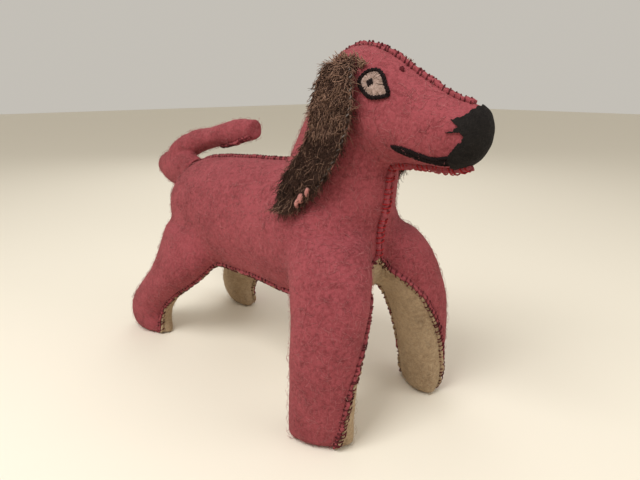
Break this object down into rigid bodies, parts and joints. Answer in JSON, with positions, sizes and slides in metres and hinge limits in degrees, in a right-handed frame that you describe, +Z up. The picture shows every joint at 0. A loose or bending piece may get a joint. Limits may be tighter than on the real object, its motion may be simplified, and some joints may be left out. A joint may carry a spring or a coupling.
{
  "type": "stuffed toy dog",
  "caption": "Standing hand-sewn felt toy dog with stuffed body, hanging furry ears, embroidered eyes and a curled tail.",
  "frame": {"origin": "on the ground, at the middle of the dog's length and width", "axes": "+X the way the dog looks, +Y its left side, +Z up"},
  "size_m": [0.2562, 0.094, 0.1706],
  "materials": {
    "body_felt": "fuzzy wool felt",
    "underbody_felt": "fuzzy wool felt",
    "nose_felt": "black wool felt",
    "ear_fur": "short curly fur fabric",
    "ear_lining_felt": "wool felt",
    "white_thread": "embroidery thread",
    "black_thread": "embroidery thread",
    "seam_thread": "cotton sewing thread",
    "wool_stuffing": "carded wool"
  },
  "bodies": {
    "root": {"back_seam_thread": "seam_thread", "body_stuffing": "wool_stuffing", "brow_knot": "black_thread", "chest_seam_thread": "seam_thread", "head_seam_thread": "seam_thread", "head_stuffing": "wool_stuffing", "left_ear_stitches": "seam_thread", "left_eye_outline": "black_thread", "left_eye_pupil": "black_thread", "left_eye_white": "white_thread", "left_front_leg_stuffing": "wool_stuffing", "left_mouth_thread": "black_thread", "left_rear_leg_stuffing": "wool_stuffing", "left_side_panel": "body_felt", "left_underbody_seam_thread": "seam_thread", "nose_patch": "nose_felt", "right_ear_stitches": "seam_thread", "right_eye_outline": "black_thread", "right_eye_pupil": "black_thread", "right_eye_white": "white_thread", "right_front_leg_stuffing": "wool_stuffing", "right_mouth_thread": "black_thread", "right_rear_leg_stuffing": "wool_stuffing", "right_side_panel": "body_felt", "right_underbody_seam_thread": "seam_thread", "tail_stitches": "seam_thread", "underbody_panel": "underbody_felt"},
    "right_ear": {"right_ear_fur": "ear_fur", "right_ear_lining": "ear_lining_felt"},
    "left_ear": {"left_ear_fur": "ear_fur", "left_ear_lining": "ear_lining_felt"},
    "tail": {"tail_felt": "body_felt", "tail_stuffing": "wool_stuffing"}
  },
  "joints": [
    {"name": "right_ear_flap", "type": "hinge", "parent": "root", "child": "right_ear", "pos_m": [0.069, -0.0143, 0.162], "axis": [-1, 0, 0], "range_deg": [0, 95]},
    {"name": "left_ear_flap", "type": "hinge", "parent": "root", "child": "left_ear", "pos_m": [0.069, 0.0143, 0.162], "axis": [1, 0, 0], "range_deg": [0, 95]},
    {"name": "tail_wag", "type": "hinge", "parent": "root", "child": "tail", "pos_m": [-0.0807, 0, 0.0973], "axis": [0.7071, 0, 0.7071], "range_deg": [-20, 20], "stiffness_Nm_per_rad": 0.01}
  ]
}
